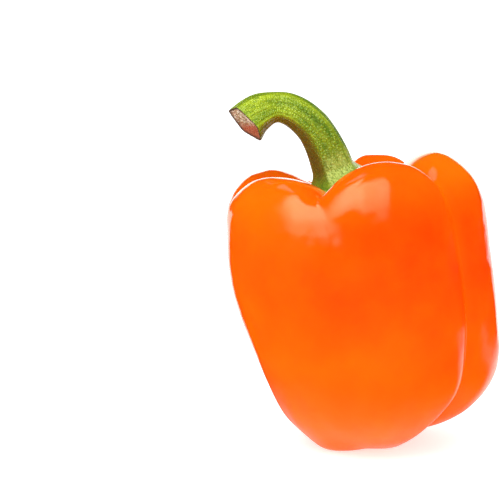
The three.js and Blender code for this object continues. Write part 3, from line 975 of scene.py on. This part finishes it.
def sheet(name, points, material):
    """A sheet over a grid of points, rows x columns x 3 in metres."""
    rows, columns = points.shape[:2]
    row, column = np.meshgrid(np.arange(rows - 1), np.arange(columns - 1), indexing="ij")
    corner = (row * columns + column).ravel()
    faces = np.stack([corner, corner + 1, corner + columns + 1, corner + columns], -1)
    mesh = bpy.data.meshes.new(name)
    mesh.from_pydata(points.reshape(-1, 3).tolist(), [], faces.tolist())
    mesh.materials.append(material)
    made = bpy.data.objects.new(name, mesh)
    bpy.context.scene.collection.objects.link(made)
    return made


WHITE = (0.92, 0.92, 0.92, 1)
sheet("table", np.array([[(-4, -4, 0), (4, -4, 0)], [(-4, 4, 0), (4, 4, 0)]], float),
      plain_material("white_table", WHITE, 0.6))

world = bpy.data.worlds.new("white_sky")
bpy.context.scene.world = world
world.use_nodes = True
world.node_tree.nodes["Background"].inputs["Color"].default_value = (1, 1, 1, 1)
world.node_tree.nodes["Background"].inputs["Strength"].default_value = 1.0

lamp_data = bpy.data.lights.new("soft_lamp", "AREA")
lamp_data.shape = "RECTANGLE"
lamp_data.size = 0.7
lamp_data.size_y = 0.7
lamp_data.energy = 4.0
lamp = bpy.data.objects.new("soft_lamp", lamp_data)
lamp.location = (-0.25, -0.45, 0.85)
lamp.rotation_euler = (np.radians(29), np.radians(-14), 0)
lamp.visible_glossy = False
bpy.context.scene.collection.objects.link(lamp)
bpy.context.scene.view_settings.view_transform = "Standard"
print("lamp of", lamp_data.energy, "watts under a sky of strength 1")

# %% [markdown]
# ## What the gloss sees
#
# A shiny thing looks like what stands round it. In an all-white room the orange would turn
# milky, because its coat would mirror white everywhere. Studio photographers hang black cloth
# round such a thing and leave gaps where they want a reflection. Here the cloth makes a closed
# tent with one low gap behind, which gives the white rims at the edges of the fruit. All cloths
# and screens are hidden from everything but reflections.

# %% Black cloth
SHEET_COLUMNS, SHEET_ROWS = 49, 33
TENT_R, TENT_WALL, TENT_TOP = 1.5, 0.3, 1.55
CLOTH_SWING = (111, 421)
CLOTH_BLACK = (0.004, 0.004, 0.004, 1)


def round_sheet(name, azimuths, radius, height, material):
    """A sheet swept round the pepper from one azimuth to another. radius and height hold one
    value for each row, or for each row and each column."""
    a = np.radians(np.linspace(*azimuths, SHEET_COLUMNS))
    radius, height = (np.array(v, float).reshape(len(v), -1) for v in (radius, height))
    return sheet(name, np.stack([radius * np.cos(a), radius * np.sin(a), height + 0 * a], -1),
                 material)


black = plain_material("black_cloth", CLOTH_BLACK)
cloth = round_sheet("black_cloth", CLOTH_SWING, [TENT_R, TENT_R], [0.0, TENT_WALL], black)
tent_top = round_sheet("tent_top", (0, 360), [TENT_R, 0.9, 0.3, 0.001],
                       [TENT_WALL, 1.15, 1.5, TENT_TOP], black)
print("tent of", TENT_R, "m, closed round", CLOTH_SWING[1] - CLOTH_SWING[0], "degrees")

# %% [markdown]
# ## The dark table
#
# The coat would also mirror the white table, and only the fruit's underside and the low right
# side should. So a black sheet lies on the table for reflections: it is thin beside the pepper
# and grows denser away from it, it leaves a wider gap behind than the cloth does, and close by
# on the right it is nearly open. How much it covers is worked out for each of its points.

# %% Black sheet on the table
def remember(piece, mark, values):
    """Store a value at each point of a sheet, rows x columns."""
    layer = piece.data.attributes.new(mark, "FLOAT", "POINT")
    values = np.broadcast_to(values, (len(values), SHEET_COLUMNS))
    layer.data.foreach_set("value", np.ascontiguousarray(values, np.float32).ravel())


def fading_black():
    """Black whose cover is stored in the sheet."""
    material = plain_material("fading_black", CLOTH_BLACK)
    tree = material.node_tree
    tree.links.new(attribute(tree, "cover"), tree.nodes["Principled BSDF"].inputs["Alpha"])
    return material


def cover(radius, azimuth):
    """Rises with the distance from the pepper, less 0.85 of itself where the sheet is open:
    to the right of the pepper, from just in front of it backwards, and no further than 0.2 m."""
    rightward, backward = radius * np.cos(azimuth), radius * np.sin(azimuth)
    open_side = (smooth((backward + 0.08 * rightward - 0.002) / 0.03)
                 * smooth((rightward - 0.01) / 0.02) * smooth((0.22 - radius) / 0.11))
    return smooth((radius + 0.022) / 0.085) * (1 - 0.85 * open_side)


SHEET_SWING = (128, 412)
radii = 0.004 + 1.45 * np.linspace(0, 1, SHEET_ROWS) ** 2
dark_table = round_sheet("black_sheet", SHEET_SWING, radii, np.full(SHEET_ROWS, 0.001),
                         fading_black())
covered = cover(radii[:, None], np.radians(np.linspace(*SHEET_SWING, SHEET_COLUMNS)))
remember(dark_table, "cover", covered)
print("the sheet covers", covered.min().round(2), "to", covered.max().round(2))

# %% [markdown]
# ## Three glowing screens
#
# The broad soft highlights on the front shoulders are the mirror image of a big warm screen in
# front, above the camera and to its left. A small screen high up behind puts the spark on the
# right lobe's crown, and a low one behind draws the thin white lines along the crowns. Where a
# screen should fade out, its glow is worked out for each of its points.

# %% Screens
WARM_LIGHT = (1, 1, 0.66, 1)


def glowing_screen(name, light):
    """Light of one colour whose strength is stored in the sheet."""
    material = plain_material(name, (0, 0, 0, 1))
    tree = material.node_tree
    tree.nodes["Principled BSDF"].inputs["Emission Color"].default_value = light
    tree.links.new(attribute(tree, "glow"),
                   tree.nodes["Principled BSDF"].inputs["Emission Strength"])
    return material


def screen_towards(name, azimuths, elevations, light, glow):
    """A glowing sheet on a sphere of 1 m round the pepper. glow gives the strength for an
    azimuth and an elevation in degrees."""
    swung = np.linspace(*azimuths, SHEET_COLUMNS)[None]
    raised = np.linspace(*elevations, SHEET_ROWS)[:, None]
    piece = round_sheet(name, azimuths, np.cos(np.radians(raised)), np.sin(np.radians(raised)),
                        glowing_screen(name, light))
    remember(piece, "glow", glow(swung, raised))
    return piece


def front_glow(azimuth, elevation):
    """Brightest a little left of the middle, fading out to the left, the further the higher,
    with a straight right edge, and with lower and upper edges that depend on the azimuth."""
    sideways = (smooth((azimuth + 148 + 0.45 * elevation) / 42)
                * (1 - 0.35 * smooth((azimuth + 84) / 15)) * smooth((-58 - azimuth) / 8))
    low = 3.5 + 12 * smooth((azimuth + 128) / 26) + 1.5 * smooth((azimuth + 85) / 20)
    high = 94 - 14 * smooth((azimuth + 120) / 20)
    return (7.7 * sideways * (0.45 + 0.55 * smooth((elevation - low) / 24))
            * smooth((elevation - low) / 6) * smooth((high - elevation) / 18))


def small_glow(azimuth, elevation):
    """A soft patch round azimuth 135 and elevation 73."""
    return (2.2 * smooth((28 - abs(azimuth - 135)) / 15)
            * smooth((12 - abs(elevation - 73)) / 6))


def rear_glow(azimuth, elevation):
    """A soft band round azimuth 86 that fades out at elevation 19."""
    return (2.2 * smooth((19 - elevation) / 5)
            * smooth((26 - abs(azimuth - 86)) / 6))


front = screen_towards("front_screen", (-184, -56), (2, 88), WARM_LIGHT, front_glow)
small = screen_towards("small_screen", (105, 165), (60, 88), WHITE, small_glow)
rear = screen_towards("rear_screen", (60, 112), (1, 19), WHITE, rear_glow)
print("screens towards the skin:", [piece.name for piece in (front, small, rear)])

# %% [markdown]
# ## For reflections only
#
# Camera, shadows and diffuse light don't see the cloths and screens, so the studio stays white.

# %% Hide the cards from everything else
cards = (cloth, tent_top, dark_table, front, small, rear)
for card in cards:
    card.visible_camera = False
    card.visible_diffuse = False
    card.visible_shadow = False
    card.visible_transmission = False
    card.visible_volume_scatter = False
print("cards that only reflections see:", [card.name for card in cards])
